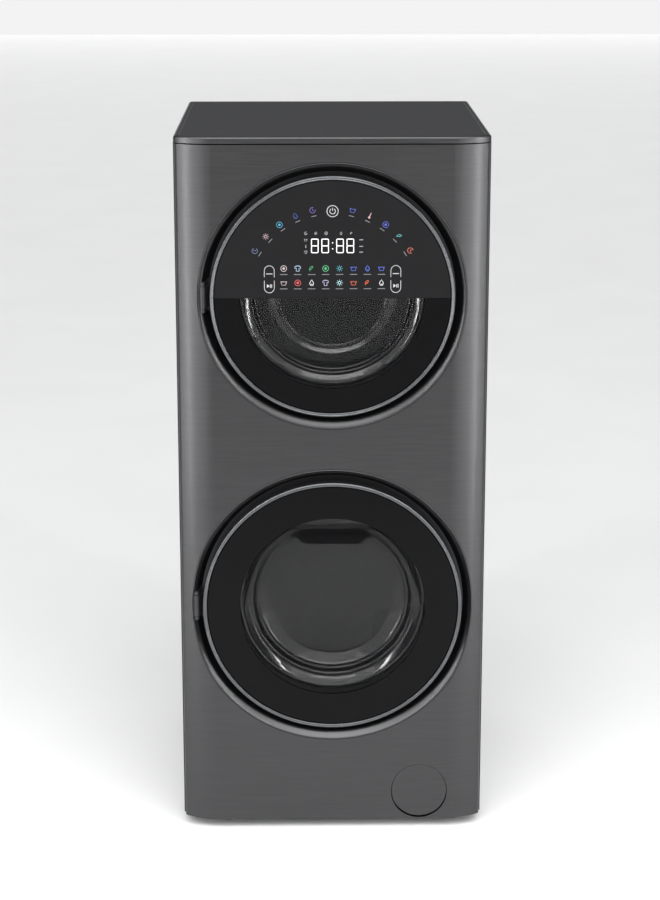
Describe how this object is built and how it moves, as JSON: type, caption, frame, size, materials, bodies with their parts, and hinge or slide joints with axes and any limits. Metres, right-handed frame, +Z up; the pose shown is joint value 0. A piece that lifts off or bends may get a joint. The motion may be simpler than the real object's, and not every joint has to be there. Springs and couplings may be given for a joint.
{
  "type": "washer dryer stack",
  "caption": "Full-height laundry tower with a heat-pump dryer above a front-loading washer, round glass doors and a control panel set in the upper door.",
  "frame": {"origin": "on the floor, at the middle of the width and the depth", "axes": "+Z up, the doors face -Y, +X to the right as seen from the front"},
  "size_m": [0.6, 0.605, 1.4],
  "materials": {
    "titanium_steel": "dark brushed, clear coated",
    "dark_steel": "dark satin paint",
    "zinc_steel": "galvanised",
    "screw_steel": "zinc plated",
    "satin_ring": "satin plated",
    "black_glass": "smoked, printed black round the window",
    "panel_glass": "back-printed dark grey",
    "clear_glass": "clear",
    "dark_plastic": "moulded, fine grain",
    "grey_plastic": "moulded",
    "circuit_board": "lacquered board",
    "drum_steel": "stainless",
    "grey_rubber": "matt",
    "belt_rubber": "matt",
    "cast_alloy": "cast",
    "motor_steel": "painted",
    "cast_weight": "rough"
  },
  "bodies": {
    "cabinet": {"side_panel_left": "dark_steel", "side_panel_right": "dark_steel", "rear_panel": "zinc_steel", "rear_service_cover": "zinc_steel", "panel_screws": "screw_steel", "top_cover": "titanium_steel", "front_panel": "titanium_steel", "base_tray": "zinc_steel", "levelling_feet": "belt_rubber", "mid_shelf": "zinc_steel", "upper_door_surround": "titanium_steel", "lower_door_surround": "titanium_steel", "hinge_brackets": "dark_steel", "door_locks": "dark_plastic", "washer_gasket": "grey_rubber", "tub_front": "grey_plastic", "tub_rear": "grey_plastic", "shaft_bearings": "screw_steel", "drive_belts": "belt_rubber", "washer_motor": "motor_steel", "tub_suspension": "screw_steel", "counterweights": "cast_weight", "heater": "screw_steel", "drain_pump": "grey_plastic", "filter_cover_frame": "dark_plastic", "water_inlet_valve": "grey_plastic", "drain_outlet": "grey_plastic", "power_gland": "dark_plastic", "dryer_bulkhead": "zinc_steel", "dryer_motor": "motor_steel", "compressor": "motor_steel", "heat_exchangers": "cast_alloy"},
    "upper_door": {"upper_door_ring": "satin_ring", "upper_door_frame": "dark_plastic", "upper_door_inner_frame": "dark_plastic", "upper_door_bowl": "clear_glass", "upper_door_hinge_arm": "dark_steel", "upper_door_glass": "black_glass", "control_panel": "panel_glass", "control_board": "circuit_board"},
    "lower_door": {"lower_door_ring": "satin_ring", "lower_door_frame": "dark_plastic", "lower_door_inner_frame": "dark_plastic", "lower_door_bowl": "clear_glass", "lower_door_hinge_arm": "dark_steel", "lower_door_glass": "black_glass"},
    "upper_hook": {"upper_door_hook": "dark_plastic"},
    "lower_hook": {"lower_door_hook": "dark_plastic"},
    "washer_drum": {"washer_drum": "drum_steel", "washer_lifters": "grey_plastic", "drum_spider": "cast_alloy", "drum_pulley": "cast_alloy"},
    "washer_motor_rotor": {"washer_motor_pulley": "motor_steel"},
    "dryer_drum": {"dryer_drum": "drum_steel"},
    "dryer_motor_rotor": {"dryer_motor_shaft": "motor_steel"},
    "roller_left": {"support_roller_left": "dark_plastic"},
    "roller_right": {"support_roller_right": "dark_plastic"},
    "filter_flap": {"filter_cover": "titanium_steel"},
    "pump_filter": {"pump_filter": "dark_plastic"},
    "lint_filter": {"lint_filter": "dark_plastic"}
  },
  "joints": [
    {"name": "upper_door_hinge", "type": "hinge", "parent": "cabinet", "child": "upper_door", "pos_m": [-0.247, -0.289, 1.093], "axis": [0, 0, -1], "range_deg": [0, 110]},
    {"name": "lower_door_hinge", "type": "hinge", "parent": "cabinet", "child": "lower_door", "pos_m": [-0.267, -0.286, 0.473], "axis": [0, 0, -1], "range_deg": [0, 110]},
    {"name": "upper_hook_pivot", "type": "hinge", "parent": "upper_door", "child": "upper_hook", "pos_m": [0.212, -0.276, 1.093], "axis": [0, 0, 1], "range_deg": [0, 8], "stiffness_Nm_per_rad": 0.6},
    {"name": "lower_hook_pivot", "type": "hinge", "parent": "lower_door", "child": "lower_hook", "pos_m": [0.233, -0.276, 0.473], "axis": [0, 0, 1], "range_deg": [0, 8], "stiffness_Nm_per_rad": 0.6},
    {"name": "washer_drum_spin", "type": "hinge", "parent": "cabinet", "child": "washer_drum", "pos_m": [0, 0, 0.473], "axis": [0, 1, 0], "continuous": true},
    {"name": "washer_motor_spin", "type": "hinge", "parent": "cabinet", "child": "washer_motor_rotor", "pos_m": [0.07, 0.2, 0.13], "axis": [0, 1, 0], "continuous": true},
    {"name": "dryer_drum_spin", "type": "hinge", "parent": "cabinet", "child": "dryer_drum", "pos_m": [0, 0, 1.093], "axis": [0, 1, 0], "continuous": true},
    {"name": "dryer_motor_spin", "type": "hinge", "parent": "cabinet", "child": "dryer_motor_rotor", "pos_m": [0.225, 0.15, 0.845], "axis": [0, 1, 0], "continuous": true},
    {"name": "left_roller_spin", "type": "hinge", "parent": "cabinet", "child": "roller_left", "pos_m": [-0.13265, -0.18, 0.86324], "axis": [0, 1, 0], "continuous": true},
    {"name": "right_roller_spin", "type": "hinge", "parent": "cabinet", "child": "roller_right", "pos_m": [0.13265, -0.18, 0.86324], "axis": [0, 1, 0], "continuous": true},
    {"name": "filter_flap_hinge", "type": "hinge", "parent": "cabinet", "child": "filter_flap", "pos_m": [0.174, -0.2951, 0.0335], "axis": [1, 0, 0], "range_deg": [0, 90]},
    {"name": "pump_filter_turn", "type": "hinge", "parent": "cabinet", "child": "pump_filter", "pos_m": [0.174, -0.27, 0.081], "axis": [0, 1, 0], "range_deg": [0, 90]},
    {"name": "lint_filter_slide", "type": "slide", "parent": "cabinet", "child": "lint_filter", "axis": [0, 0, 1], "range_m": [0, 0.115]}
  ],
  "couplings": [
    {"joint": "washer_motor_spin", "follows": "washer_drum_spin", "ratio": 14},
    {"joint": "dryer_motor_spin", "follows": "dryer_drum_spin", "ratio": 24.5},
    {"joint": "left_roller_spin", "follows": "dryer_drum_spin", "ratio": -12.25},
    {"joint": "right_roller_spin", "follows": "dryer_drum_spin", "ratio": -12.25}
  ]
}
